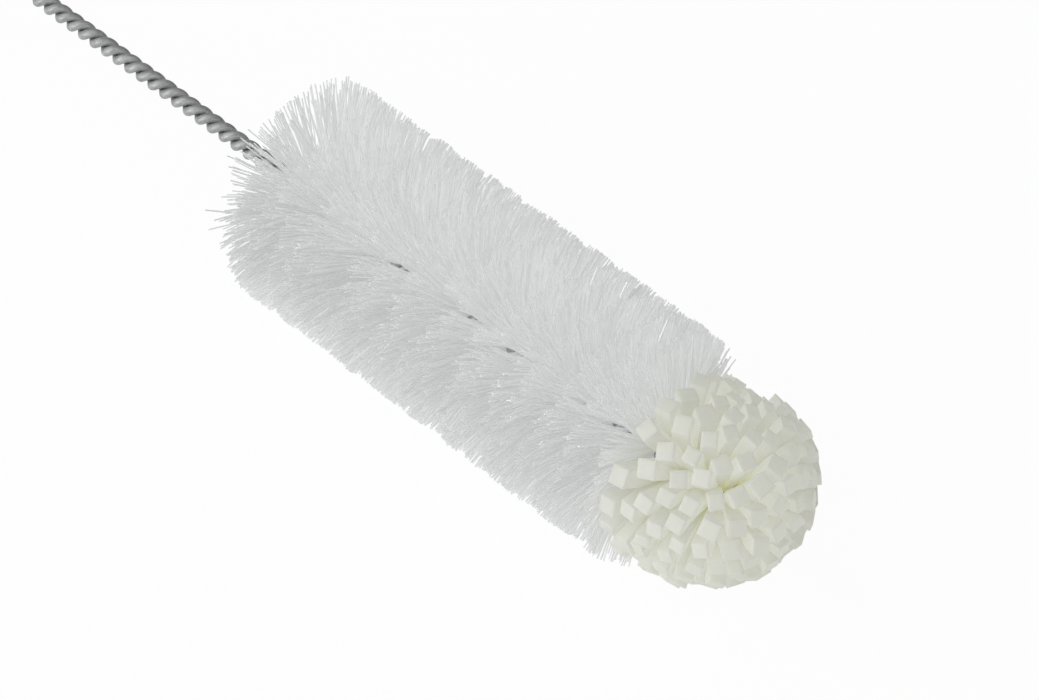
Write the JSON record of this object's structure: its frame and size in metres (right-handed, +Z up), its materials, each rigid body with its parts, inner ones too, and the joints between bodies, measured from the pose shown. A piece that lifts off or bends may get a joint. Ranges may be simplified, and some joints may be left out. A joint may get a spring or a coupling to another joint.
{
  "type": "bottle brush",
  "caption": "Bottle brush with a twisted wire stem that ends in a hanging eye, a round head of bristles and a ball of square foam fingers at the tip.",
  "frame": {"origin": "middle of the brush's outline, on the surface that its bristles lie on", "axes": "+X along the stem towards the foam tip, +Z up from the surface"},
  "size_m": [0.2612, 0.0504, 0.0489],
  "materials": {
    "wire": "galvanised, satin",
    "bristle": "translucent nylon",
    "foam": "matte open-cell foam"
  },
  "bodies": {
    "root": {"stem_wire": "wire", "bristles_01": "bristle", "bristles_02": "bristle", "bristles_03": "bristle", "bristles_04": "bristle", "bristles_05": "bristle", "bristles_06": "bristle", "bristles_07": "bristle", "bristles_08": "bristle", "bristles_09": "bristle", "bristles_10": "bristle", "bristles_11": "bristle", "bristles_12": "bristle", "bristles_13": "bristle", "bristles_14": "bristle", "bristles_15": "bristle", "bristles_16": "bristle", "bristles_17": "bristle", "foam_strips_01": "foam", "foam_strips_02": "foam", "foam_strips_03": "foam", "foam_strips_04": "foam", "foam_strips_05": "foam", "foam_strips_06": "foam", "foam_strips_07": "foam", "foam_strips_08": "foam", "foam_strips_09": "foam", "foam_strips_10": "foam", "foam_strips_11": "foam", "foam_strips_12": "foam"}
  },
  "joints": []
}
